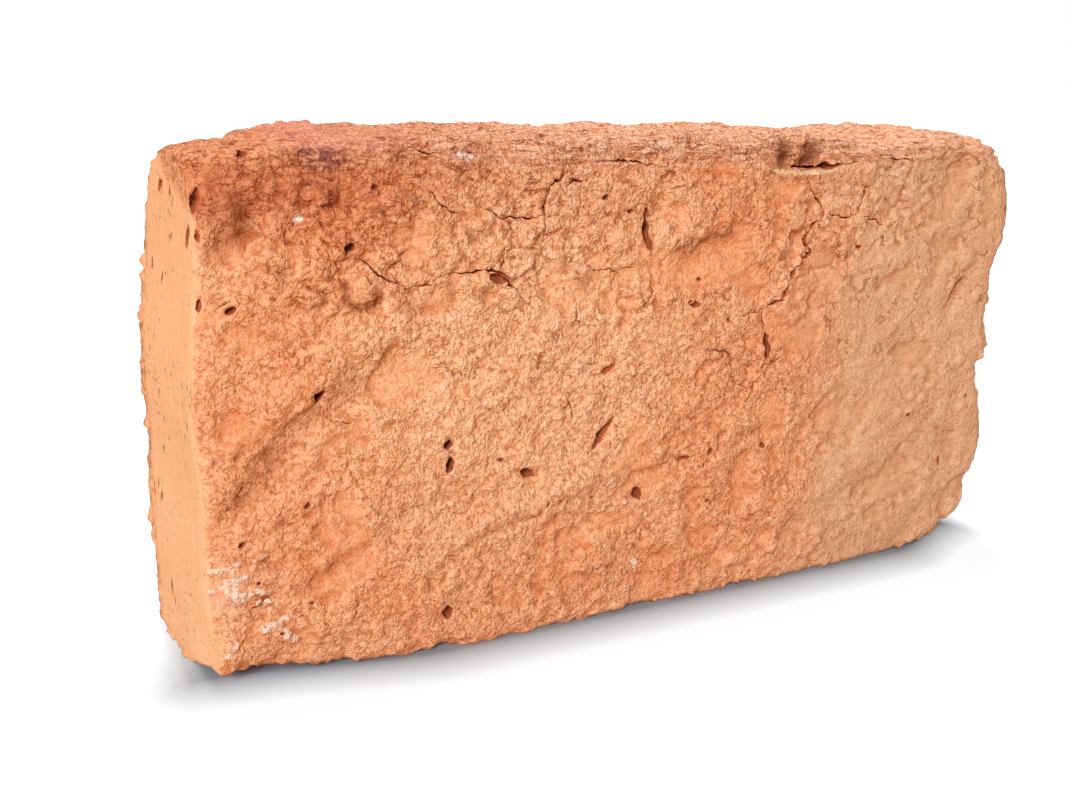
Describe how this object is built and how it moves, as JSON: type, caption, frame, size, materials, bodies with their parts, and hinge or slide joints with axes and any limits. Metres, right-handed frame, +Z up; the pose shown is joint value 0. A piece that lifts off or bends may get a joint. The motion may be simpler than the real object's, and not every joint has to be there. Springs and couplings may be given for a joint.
{
  "type": "clay brick",
  "caption": "Solid hand-moulded fired clay brick with worn arrises, husk holes and cracked, crumbly bed faces, standing on a long narrow face.",
  "frame": {"origin": "on the resting face, under the middle of the brick's length and thickness", "axes": "+X along the length from the smooth header to the far header, +Y from the rough bed face to the back bed face, +Z up"},
  "size_m": [0.2456, 0.0529, 0.1256],
  "materials": {
    "fired_clay": "rough, matt, unglazed fired clay"
  },
  "bodies": {
    "root": {"brick": "fired_clay"}
  },
  "joints": []
}
